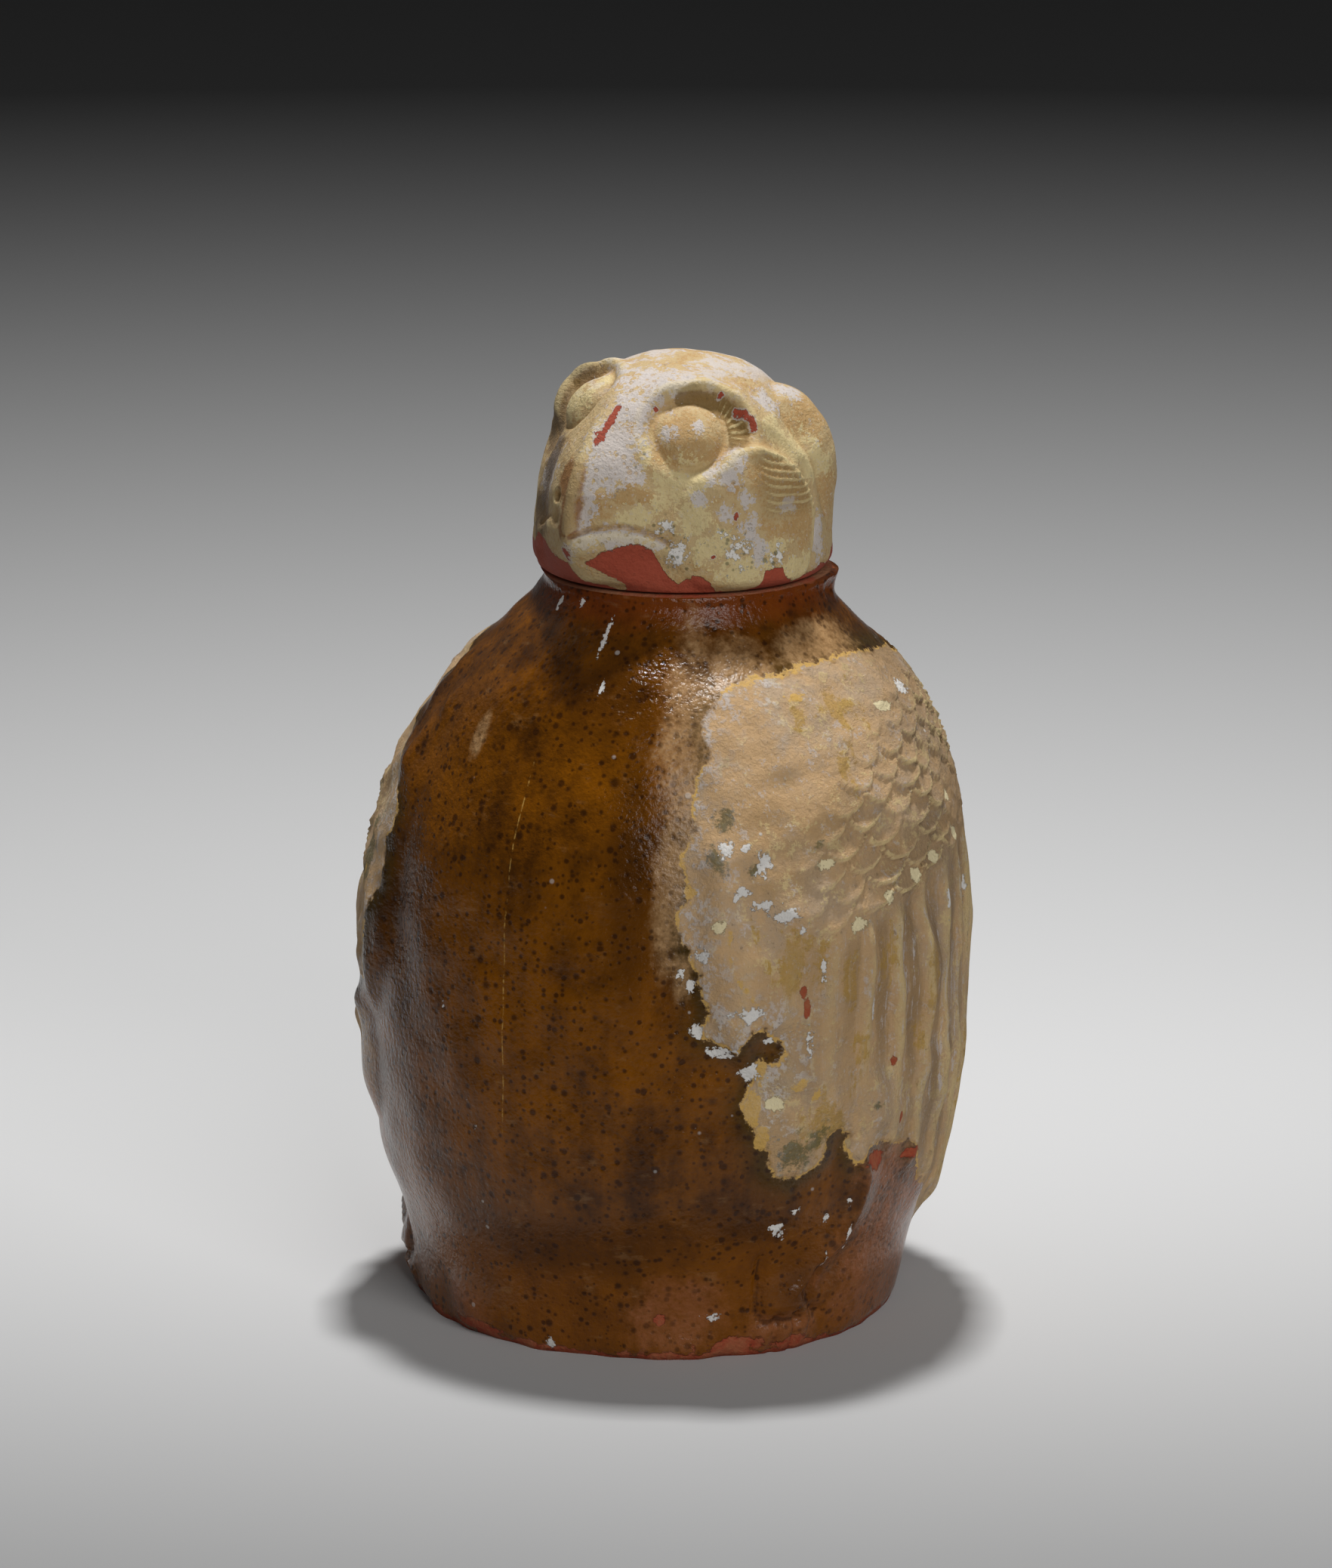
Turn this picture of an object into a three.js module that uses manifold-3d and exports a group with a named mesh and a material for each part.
// Owl-shaped jar of glazed earthenware, in two pieces: the body, and the head, which is the lid.
// Millimetres and degrees. The owl stands on z = 0 and faces -Y.
// Angles run round the axis from the middle of the breast or face, positive towards the owl's left.

import * as THREE from "three";
import { mergeVertices } from "three/addons/utils/BufferGeometryUtils.js";
import Module from "manifold-3d";

const wasm = await Module();
wasm.setup();

// Jar wall: radii with the heights at which they lie
const JAR_HEIGHT = 145;
const BASE_RADIUS = 45;
const SKIRT_RADIUS = 48.8;
const SKIRT_HEIGHT = 15;
const FLANK_RADIUS = 55;
const FLANK_HEIGHT = 31;
const BELLY_RADIUS = 57.6;
const BELLY_LOW = 52;
const BELLY_HIGH = 76;
const CHEST_RADIUS = 54.6;
const CHEST_HEIGHT = 102;
const SHOULDER_RADIUS = 46;
const SHOULDER_DROP = 23; // below the rim
const NECK_RADIUS = 29.4;
const NECK_LENGTH = 5;
const NECK_ROOT_RADIUS = 34;
const NECK_ROOT_DROP = 10.5; // below the rim
const JAR_WALL = 5.6;
const JAR_FLOOR = 7;
const LEAN_BACK = 6; // the neck stands this far behind the middle of the base
const LEAN_LEFT = 1.6;

// Folded wings: distances round the jar are measured at the belly from the middle of the breast
const WING_FRONT = 35;
const WING_REAR = 158;
const WING_TOP_DROP = 12;
const WING_FRONT_LOW = 64; // height of the lower edge at the front
const WING_TIP = 118;
const WING_TIP_HEIGHT = 19;
const WING_RISE = 1.6;
const WING_EDGE = 6;
const WING_CORNER = 4;
const WING_SWELL = 2.4;
const WING_SWELL_AROUND = 56;
const WING_SWELL_HEIGHT = 76;
const WING_SWELL_REACH = 32;
const TIP_SWELL = 1.9;
const TIP_SWELL_REACH = 22;
const NOTCH_AROUND = 51; // dent between the wing and the thigh
const NOTCH_HEIGHT = 65;
const NOTCH_RADIUS = 5.5;
const NOTCH_STRETCH = 1.6;
const NOTCH_DEPTH = 1.2;

// Small feathers on the upper wing overlap in rows that climb towards the back
const FEATHER_DEPTH = 58.2; // the lowest row begins this far below the rim
const FEATHER_AROUND = 68; // and this far round the jar
const FEATHER_CLIMB = 0.2; // rise of the rows for each millimetre round the jar
const FEATHER_LEVEL = 60; // forward of this the rows stay level
const FEATHER_TOP_DROP = 12;
const FEATHER_ROWS = 12;
const FEATHER_TIP = 0.7; // drop from a notch to the tips beside it, in rows
const FEATHER_LIP = 0.14; // height of a feather's edge, in rows
const FEATHER_RISE = 1.3;
const FEATHER_WORN = 44; // forward of this they are worn off
const FEATHER_WHOLE = 70;
const FEATHER_MARGIN = 9; // they fade this far inside the wing's edge

// Long feathers run down from there to the wing's tip, and down the tail
const QUILL_RISE = 1.1;
const QUILL_WORN = 52;
const QUILL_WHOLE = 80;
const QUILL_FADE = 5;

// Thighs, legs and feet
const THIGH_AROUND = 57;
const THIGH_HEIGHT = 49;
const THIGH_RADIUS = 13;
const THIGH_RISE = 2.5;
const LEG_TOP_AROUND = 75;
const LEG_TOP_HEIGHT = 32;
const LEG_RADIUS = 7;
const LEG_RISE = 1.4;
const FOOT_AROUND = 62;
const FOOT_HEIGHT = 6;
const FOOT_RADIUS = 12;
const FOOT_RISE = 2.6;

// Short tail at the back, which widens downwards
const TAIL_TOP = 64;
const TAIL_FADE = 30;
const TAIL_FOOT = 3;
const TAIL_FOOT_FADE = 7;
const TAIL_HALF_TOP = 9;
const TAIL_SPREAD = 14;
const TAIL_EDGE = 7;
const TAIL_RISE = 3.8;

// Head, measured from the plane of the neck's rim
const HEAD_HEIGHT = 42.3;
const HEAD_EDGE_RADIUS = 27.6;
const HEAD_RADIUS = 28.7;
const HEAD_RADIUS_HEIGHT = 5;
const CHEEK_LINE_RADIUS = 26.6;
const CHEEK_LINE_HEIGHT = 21;
const TEMPLE_RADIUS = 21.6;
const TEMPLE_HEIGHT = 31;
const CROWN_RADIUS = 12.6;
const CROWN_DROP = 3.4; // below the top
const HEAD_WALL = 6.5;
const HEAD_TURN = -6;
const SEAT_GAP = 0.3;

// Collar under the head, which keeps it from sliding off the neck
const COLLAR_CLEARANCE = 1.5;
const COLLAR_WALL = 3.8;
const COLLAR_DEPTH = 7;
const VAULT_START = 18; // height at which the hollow of the head begins to close

// Face: places are an angle from the beak and a height above the seat, rises stand off the dome
// A ridge is a row of [height, rise], and a brow or lip a row of [angle, height, rise]
const RIDGE = [[0, 0.3], [2, 2.2], [5, 5], [8, 6.8], [11, 7.4], [18, 7], [26, 4.8], [36, 2], [42, 0]];
const RIDGE_HALF_WIDTH = 13;
const RIDGE_ROUND = 1.5;
const EYE_RADIUS = 7;
const EYE_RISE = 2.9;
const DISH_RADIUS = 10; // the eye lies in a shallow dish
const DISH_EDGE = 4;
const DISH_CUT = 0.6;
const HOLLOW_DEPTH = 1; // and under a brow, which steps down to a hollow
const HOLLOW_STEP = 4.4;
const HOLLOW_LOW = 25;
const HOLLOW_FULL = 30;
const BROW_REACH = 8;
const LEFT_EYE = [41, 30.2];
const LEFT_SUNK = 1.3;
const LEFT_HOLLOW = [50, 29.8];
const LEFT_HOLLOW_RADIUS = 9.4;
const LEFT_BROW = [[27, 34.5, 1.5], [36, 35.6, 3], [50, 35.8, 3.6], [64, 33.8, 3.2], [74, 30, 2]];
const LEFT_DISC_RISE = 1.7;
const RIGHT_EYE = [-38, 33.8];
const RIGHT_SUNK = 1.4;
const RIGHT_HOLLOW = [-41, 33.6];
const RIGHT_HOLLOW_RADIUS = 8.6;
const RIGHT_BROW = [[-40, 36.6, 2], [-49, 35.8, 4.6], [-56, 33.6, 4.4], [-62, 31, 2], [-65, 28, 0.6]];
const RIGHT_DISC_RISE = 0.4;
const CHEEK_HOLLOW = [-50, 25.5]; // under the right eye
const CHEEK_HOLLOW_RADIUS = 7;
const CHEEK_HOLLOW_DEPTH = 1.3;
const DISC = [66, 12];
const DISC_RADIUS = 15.6;
const DISC_STEP = 2;
const DISC_FRONT = 28; // the facial disc grows out of the face from this angle
const DISC_FULL = 60;
const LIP = [[-1, 7.4, 0.3], [6, 9.4, 1], [14, 10.6, 1], [23, 10.2, 1], [31, 8.8, 0.9], [36, 6.8, 0.4]];
const LIP_REACH = 3.2;
const EAR_ANGLE = 124;
const EAR_HEIGHT = 29;
const EAR_HALF_WIDTH = 8.5;
const EAR_ABOVE = 10;
const EAR_BELOW = 16;
const EAR_RISE = 3.8;
const EAR_HOLLOW_ANGLE = 106;
const EAR_HOLLOW_RADIUS = 6.5;
const EAR_HOLLOW_DEPTH = 1.2;
const EDGE_FADE = 3; // the relief dies out at the lower edge, so that the seat stays flat

// Mesh densities
const LOW_ROWS = 16; // under the small feathers
const TOP_ROWS = 5; // above them
const JAR_COLUMNS = 84; // two to a feather
const HEAD_ROWS = 28;
const HEAD_COLUMNS = 80;
const HOLLOW_ROWS = 18;
const HOLLOW_COLUMNS = 40;
const PATH_STEPS = 6;
const PROFILE_STEPS = 400;
const WELD = 1e-4; // points closer than this are one
const CUT_MARGIN = 5; // how far a cutting solid runs past the face it opens

const GLAZE = new THREE.MeshStandardMaterial({ color: 0x7a4a1c, roughness: 0.3, metalness: 0 });
const BUFF = new THREE.MeshStandardMaterial({ color: 0xcbb27a, roughness: 0.8, metalness: 0 });

const { clamp, degToRad, lerp, mapLinear, radToDeg, smoothstep } = THREE.MathUtils;

// Rises from 0 at the rim of a round patch to 1 over its middle, with a steep or a soft edge
const dome = (distance, reach) => Math.sqrt(Math.max(0, 1 - (distance / reach) ** 2));
const mound = (distance, reach) => Math.max(0, 1 - (distance / reach) ** 2) ** 2;

function smallest(values, corner) {
  const sum = values.reduce((total, value) => total + Math.exp(-value / corner), 0);
  return -corner * Math.log(sum);
}

function spline(stations) {
  return new THREE.SplineCurve(stations.map(([radius, height]) => new THREE.Vector2(radius, height)));
}

// Value at x along stations of [x, value], with straight runs between them
function valueAt(stations, x) {
  const next = clamp(stations.findIndex((station) => station[0] >= x), 1, stations.length - 1);
  const [low, high] = [stations[next - 1], stations[next]];
  return mapLinear(clamp(x, low[0], high[0]), low[0], high[0], low[1], high[1]);
}

function radiiByHeight(profile) {
  return profile.getSpacedPoints(PROFILE_STEPS).map((point) => [point.y, point.x]);
}

function aroundAxis(radius, angle, height) {
  const turn = degToRad(angle);
  return new THREE.Vector3(radius * Math.sin(turn), -radius * Math.cos(turn), height);
}

// A closed skin through the rings, with a fan over each end
function loft(rings) {
  const count = rings[0].length;
  const points = rings.flat();
  const index = [];
  for (let row = 0; row + 1 < rings.length; row += 1) {
    for (let column = 0; column < count; column += 1) {
      const next = (column + 1) % count;
      const [a, b] = [row * count + column, row * count + next];
      index.push(a, b, b + count, a, b + count, a + count);
    }
  }
  const middle = (ring) => {
    const centre = new THREE.Vector3();
    ring.forEach((point) => centre.addScaledVector(point, 1 / ring.length));
    return centre;
  };
  const bottom = points.push(middle(rings[0])) - 1;
  const top = points.push(middle(rings.at(-1))) - 1;
  const lastRing = (rings.length - 1) * count;
  for (let column = 0; column < count; column += 1) {
    const next = (column + 1) % count;
    index.push(bottom, next, column, top, lastRing + column, lastRing + next);
  }
  const geometry = new THREE.BufferGeometry().setFromPoints(points);
  geometry.setIndex(index);
  return geometry;
}

function revolve(stations, columns) {
  const outline = stations.map(([radius, height]) => new THREE.Vector2(radius, height));
  return new THREE.LatheGeometry(outline, columns).rotateX(Math.PI / 2);
}

function toSolid(geometry) {
  const bare = geometry.clone();
  bare.deleteAttribute("normal");
  bare.deleteAttribute("uv");
  const merged = mergeVertices(bare, WELD);
  const triVerts = [];
  for (let i = 0; i < merged.index.count; i += 3) {
    const corners = [0, 1, 2].map((k) => merged.index.getX(i + k));
    if (new Set(corners).size === 3) {
      triVerts.push(...corners);
    }
  }
  const mesh = new wasm.Mesh({
    numProp: 3,
    vertProperties: merged.attributes.position.array,
    triVerts: new Uint32Array(triVerts),
  });
  return new wasm.Manifold(mesh);
}

function toGeometry(solid) {
  const { vertProperties, triVerts } = solid.getMesh();
  const geometry = new THREE.BufferGeometry();
  geometry.setAttribute("position", new THREE.BufferAttribute(vertProperties, 3));
  geometry.setIndex(new THREE.BufferAttribute(triVerts, 1));
  geometry.computeVertexNormals();
  return geometry;
}

// The jar

const jarProfile = spline([
  [BASE_RADIUS, 0],
  [SKIRT_RADIUS, SKIRT_HEIGHT],
  [FLANK_RADIUS, FLANK_HEIGHT],
  [BELLY_RADIUS, BELLY_LOW],
  [BELLY_RADIUS, BELLY_HIGH],
  [CHEST_RADIUS, CHEST_HEIGHT],
  [SHOULDER_RADIUS, JAR_HEIGHT - SHOULDER_DROP],
  [NECK_ROOT_RADIUS, JAR_HEIGHT - NECK_ROOT_DROP],
  [NECK_RADIUS, JAR_HEIGHT - NECK_LENGTH],
  [NECK_RADIUS, JAR_HEIGHT],
]);

const jarRadii = radiiByHeight(jarProfile);

// Heights up one column of the jar, with the lift of a feather's lower edge where there is one
function jarStations(column, around) {
  const end = JAR_HEIGHT - FEATHER_TOP_DROP;
  const start = featherStart(around);
  const pitch = (end - start) / FEATHER_ROWS;
  const stations = [];
  for (let row = 0; row < LOW_ROWS; row += 1) {
    stations.push([(start * row) / LOW_ROWS, 0]);
  }
  for (let row = 0; row < FEATHER_ROWS; row += 1) {
    const notch = (column + row) % 2 ? FEATHER_TIP * feathered(around) : 0;
    stations.push([start + (row + notch - FEATHER_LIP / 2) * pitch, 0]);
    stations.push([start + (row + notch + FEATHER_LIP / 2) * pitch, FEATHER_RISE]);
  }
  for (let row = 0; row <= TOP_ROWS; row += 1) {
    stations.push([lerp(end, JAR_HEIGHT, row / TOP_ROWS), 0]);
  }
  return stations;
}

function featherStart(around) {
  const behind = clamp(around, FEATHER_LEVEL, WING_REAR) - FEATHER_AROUND;
  return JAR_HEIGHT - FEATHER_DEPTH + FEATHER_CLIMB * behind;
}

function feathered(around) {
  return smoothstep(around, FEATHER_WORN, FEATHER_WHOLE) * smoothstep(WING_REAR - around, 0, FEATHER_MARGIN);
}

function jarRings() {
  const columns = [];
  for (let column = 0; column < JAR_COLUMNS; column += 1) {
    const angle = (360 * column) / JAR_COLUMNS - 180;
    const around = Math.abs(degToRad(angle)) * BELLY_RADIUS;
    const quill = column % 2 ? 0 : QUILL_RISE;
    const points = jarStations(column, around).map(([height, lift]) => {
      const edge = lift * feathered(around) * smoothstep(insideWing(around, height), 0, FEATHER_MARGIN);
      const relief = wallRise(around, height) + edge + quill * quillShare(around, height);
      return aroundAxis(valueAt(jarRadii, height) + relief, angle, height);
    });
    columns.push(points);
  }
  return columns[0].map((_, row) => columns.map((points) => points[row]));
}

function insideWing(around, height) {
  const slope = (WING_FRONT_LOW - WING_TIP_HEIGHT) / (WING_TIP - WING_FRONT);
  const lowerEdge = WING_TIP_HEIGHT + slope * Math.max(0, WING_TIP - around);
  return smallest(
    [
      around - WING_FRONT,
      WING_REAR - around,
      JAR_HEIGHT - WING_TOP_DROP - height,
      (height - lowerEdge) * Math.cos(Math.atan(slope)),
    ],
    WING_CORNER,
  );
}

function wallRise(around, height) {
  const from = (across, up) => Math.hypot(around - across, height - up);
  return wingRise(around, height, from) + legRise(around, height, from) + tailRise(around, height);
}

function wingRise(around, height, from) {
  const swell = WING_SWELL * mound(from(WING_SWELL_AROUND, WING_SWELL_HEIGHT), WING_SWELL_REACH);
  const tip = TIP_SWELL * mound(from(WING_TIP, WING_TIP_HEIGHT), TIP_SWELL_REACH);
  const toNotch = Math.hypot((around - NOTCH_AROUND) / NOTCH_STRETCH, height - NOTCH_HEIGHT);
  const wing = (WING_RISE + swell + tip) * smoothstep(insideWing(around, height), 0, WING_EDGE);
  return wing - NOTCH_DEPTH * mound(toNotch, NOTCH_RADIUS);
}

function quillShare(around, height) {
  const below = smoothstep(featherStart(around) - height, 0, QUILL_FADE);
  const onWing = below * smoothstep(insideWing(around, height), 0, QUILL_FADE);
  const kept = smoothstep(around, QUILL_WORN, QUILL_WHOLE);
  return Math.max(onWing * kept, tailRise(around, height) / TAIL_RISE);
}

function legRise(around, height, from) {
  const leg = new THREE.Line3(
    new THREE.Vector3(LEG_TOP_AROUND, LEG_TOP_HEIGHT, 0),
    new THREE.Vector3(FOOT_AROUND, FOOT_HEIGHT, 0),
  );
  const here = new THREE.Vector3(around, height, 0);
  const toLeg = leg.closestPointToPoint(here, true, new THREE.Vector3()).distanceTo(here);
  return Math.max(
    THIGH_RISE * dome(from(THIGH_AROUND, THIGH_HEIGHT), THIGH_RADIUS),
    LEG_RISE * mound(toLeg, LEG_RADIUS),
    FOOT_RISE * mound(from(FOOT_AROUND, FOOT_HEIGHT), FOOT_RADIUS),
  );
}

function tailRise(around, height) {
  const fromBack = Math.PI * BELLY_RADIUS - around;
  const half = TAIL_HALF_TOP + TAIL_SPREAD * Math.max(0, 1 - height / TAIL_TOP);
  const across = smoothstep(half - fromBack, -TAIL_EDGE / 2, TAIL_EDGE / 2);
  const fromFoot = smoothstep(height, TAIL_FOOT, TAIL_FOOT + TAIL_FOOT_FADE);
  const fromTop = smoothstep(TAIL_TOP - height, 0, TAIL_FADE);
  return TAIL_RISE * across * fromFoot * fromTop;
}

function jarHollow() {
  const wall = [];
  for (let row = 0; row <= HOLLOW_ROWS; row += 1) {
    const station = jarProfile.getPointAt(row / HOLLOW_ROWS);
    const tangent = jarProfile.getTangentAt(row / HOLLOW_ROWS);
    const inner = [station.x - tangent.y * JAR_WALL, station.y + tangent.x * JAR_WALL];
    if (inner[1] > JAR_FLOOR + JAR_WALL && inner[1] < throat - JAR_WALL) {
      wall.push(inner);
    }
  }
  const top = JAR_HEIGHT + CUT_MARGIN;
  const floor = [[0, JAR_FLOOR], [wall[0][0] - JAR_WALL, JAR_FLOOR]];
  const mouth = [[mouthRadius, throat], [mouthRadius, top], [0, top]];
  return revolve([...floor, ...wall, ...mouth], HOLLOW_COLUMNS);
}

const mouthRadius = NECK_RADIUS - JAR_WALL;
const throat = JAR_HEIGHT - COLLAR_DEPTH - COLLAR_CLEARANCE;
const lean = new THREE.Matrix4().makeShear(0, 0, 0, 0, LEAN_LEFT / JAR_HEIGHT, LEAN_BACK / JAR_HEIGHT);

const jarOuter = toSolid(loft(jarRings()));
const jarBody = new THREE.Mesh(toGeometry(jarOuter.subtract(toSolid(jarHollow()))).applyMatrix4(lean), GLAZE);
jarBody.name = "jar_body";

// The head

const headProfile = spline([
  [HEAD_EDGE_RADIUS, 0],
  [HEAD_RADIUS, HEAD_RADIUS_HEIGHT],
  [CHEEK_LINE_RADIUS, CHEEK_LINE_HEIGHT],
  [TEMPLE_RADIUS, TEMPLE_HEIGHT],
  [CROWN_RADIUS, HEAD_HEIGHT - CROWN_DROP],
  [0, HEAD_HEIGHT],
]);

const headRadii = radiiByHeight(headProfile);
const onHead = ([angle, height]) => aroundAxis(valueAt(headRadii, height), angle, height);

// Points close together along a path of [angle, height, rise], each with its rise
function pathOnHead(stations) {
  const points = [];
  for (let leg = 0; leg + 1 < stations.length; leg += 1) {
    const [from, to] = [stations[leg], stations[leg + 1]];
    for (let step = 0; step <= PATH_STEPS; step += 1) {
      const [angle, height, rise] = from.map((value, i) => lerp(value, to[i], step / PATH_STEPS));
      points.push({ place: onHead([angle, height]), rise });
    }
  }
  return points;
}

const alongPath = (path, point, reach) =>
  path.reduce((best, { place, rise }) => Math.max(best, rise * mound(point.distanceTo(place), reach)), 0);

const leftFace = {
  side: 1,
  eye: onHead(LEFT_EYE),
  sunk: LEFT_SUNK,
  hollow: onHead(LEFT_HOLLOW),
  hollowRadius: LEFT_HOLLOW_RADIUS,
  brow: pathOnHead(LEFT_BROW),
  discRise: LEFT_DISC_RISE,
};
const rightFace = {
  side: -1,
  eye: onHead(RIGHT_EYE),
  sunk: RIGHT_SUNK,
  hollow: onHead(RIGHT_HOLLOW),
  hollowRadius: RIGHT_HOLLOW_RADIUS,
  brow: pathOnHead(RIGHT_BROW),
  discRise: RIGHT_DISC_RISE,
};
const cheekHollow = onHead(CHEEK_HOLLOW);
const disc = onHead(DISC);
const lip = pathOnHead(LIP);
const ear = onHead([EAR_ANGLE, EAR_HEIGHT]);
const earHollow = onHead([EAR_HOLLOW_ANGLE, EAR_HEIGHT]);

function headRelief(point) {
  const mirrored = new THREE.Vector3(Math.abs(point.x), point.y, point.z);
  let relief = ridgeRise(mirrored);
  for (const half of [leftFace, rightFace]) {
    relief = eyeRegion(half, point, mirrored, relief);
  }
  const cheek = CHEEK_HOLLOW_DEPTH * mound(point.distanceTo(cheekHollow), CHEEK_HOLLOW_RADIUS);
  relief += alongPath(lip, mirrored, LIP_REACH) + earRise(mirrored) - cheek;
  return relief * smoothstep(point.z, 0, EDGE_FADE);
}

// The ridge from the crown to the beak, where the two planes of the face meet
function ridgeRise(mirrored) {
  const off = Math.hypot(mirrored.x, RIDGE_ROUND) - RIDGE_ROUND;
  const across = Math.max(0, 1 - off / RIDGE_HALF_WIDTH);
  return mirrored.y < 0 ? valueAt(RIDGE, mirrored.z) * across : 0;
}

// One eye in its dish, with the brow over it and the facial disc behind it, carved into the relief so far
function eyeRegion(half, point, mirrored, relief) {
  const toEye = point.distanceTo(half.eye);
  const dish = smoothstep(DISH_RADIUS - toEye, 0, DISH_EDGE);
  const underBrow = smoothstep(half.hollowRadius - point.distanceTo(half.hollow), 0, HOLLOW_STEP);
  const hollow = underBrow * smoothstep(point.z, HOLLOW_LOW, HOLLOW_FULL);
  const kept = (relief + alongPath(half.brow, point, BROW_REACH)) * (1 - hollow) * (1 - DISH_CUT * dish);
  const floor = Math.max(half.sunk * dish, HOLLOW_DEPTH * hollow);
  const eye = EYE_RISE * Math.max(0, 1 - (toEye / EYE_RADIUS) ** 2);
  const onSide = point.x * half.side > 0 ? 1 : 0;
  return kept - floor + eye + half.discRise * discShare(mirrored) * (1 - dish) * onSide;
}

function discShare(mirrored) {
  const angle = radToDeg(Math.atan2(mirrored.x, -mirrored.y));
  const inside = smoothstep(DISC_RADIUS - mirrored.distanceTo(disc), -DISC_STEP / 2, DISC_STEP / 2);
  return inside * smoothstep(angle, DISC_FRONT, DISC_FULL);
}

function earRise(mirrored) {
  const isAbove = mirrored.z > ear.z;
  const upright = (mirrored.z - ear.z) / (isAbove ? EAR_ABOVE : EAR_BELOW);
  const turn = Math.atan2(mirrored.x, -mirrored.y) - degToRad(EAR_ANGLE);
  const round = Math.abs(turn) * Math.hypot(mirrored.x, mirrored.y);
  const aside = (isAbove ? Math.hypot(mirrored.x - ear.x, mirrored.y - ear.y) : round) / EAR_HALF_WIDTH;
  const hollow = EAR_HOLLOW_DEPTH * mound(mirrored.distanceTo(earHollow), EAR_HOLLOW_RADIUS);
  return EAR_RISE * Math.max(0, 1 - upright ** 2 - aside ** 2) - hollow;
}

// Rings of points on the dome, raised square to it
function headRings() {
  const rings = [];
  for (let row = 0; row <= HEAD_ROWS; row += 1) {
    const station = headProfile.getPointAt(row / HEAD_ROWS);
    const tangent = headProfile.getTangentAt(row / HEAD_ROWS);
    const ring = [];
    for (let column = 0; column < HEAD_COLUMNS; column += 1) {
      const angle = (360 * column) / HEAD_COLUMNS - 180;
      const point = aroundAxis(station.x, angle, station.y);
      const outward = aroundAxis(tangent.y, angle, -tangent.x);
      ring.push(point.clone().addScaledVector(outward, headRelief(point)));
    }
    rings.push(ring);
  }
  return rings;
}

const collarRadius = mouthRadius - COLLAR_CLEARANCE;
const hollowRadius = collarRadius - COLLAR_WALL;

function collar() {
  const below = -COLLAR_DEPTH;
  const above = CUT_MARGIN;
  return revolve([[0, below], [collarRadius, below], [collarRadius, above], [0, above]], HOLLOW_COLUMNS);
}

function headHollow() {
  const mouth = -COLLAR_DEPTH - CUT_MARGIN;
  const stations = [[0, mouth], [hollowRadius, mouth]];
  const rise = HEAD_HEIGHT - HEAD_WALL - VAULT_START;
  const steps = HOLLOW_ROWS / 2;
  for (let step = 0; step <= steps; step += 1) {
    const turn = (Math.PI / 2) * (step / steps);
    stations.push([hollowRadius * Math.cos(turn), VAULT_START + rise * Math.sin(turn)]);
  }
  stations.at(-1)[0] = 0;
  return revolve(stations, HOLLOW_COLUMNS);
}

const headOuter = toSolid(loft(headRings()));
const headSolid = headOuter.add(toSolid(collar())).subtract(toSolid(headHollow()));
const headLid = new THREE.Mesh(toGeometry(headSolid), BUFF);
headLid.name = "head_lid";

const head = new THREE.Group();
head.add(headLid);
head.position.set(LEAN_LEFT, LEAN_BACK, JAR_HEIGHT + SEAT_GAP);
head.rotation.z = degToRad(HEAD_TURN);

const owlJar = new THREE.Group();
owlJar.add(jarBody, head);

export default owlJar;
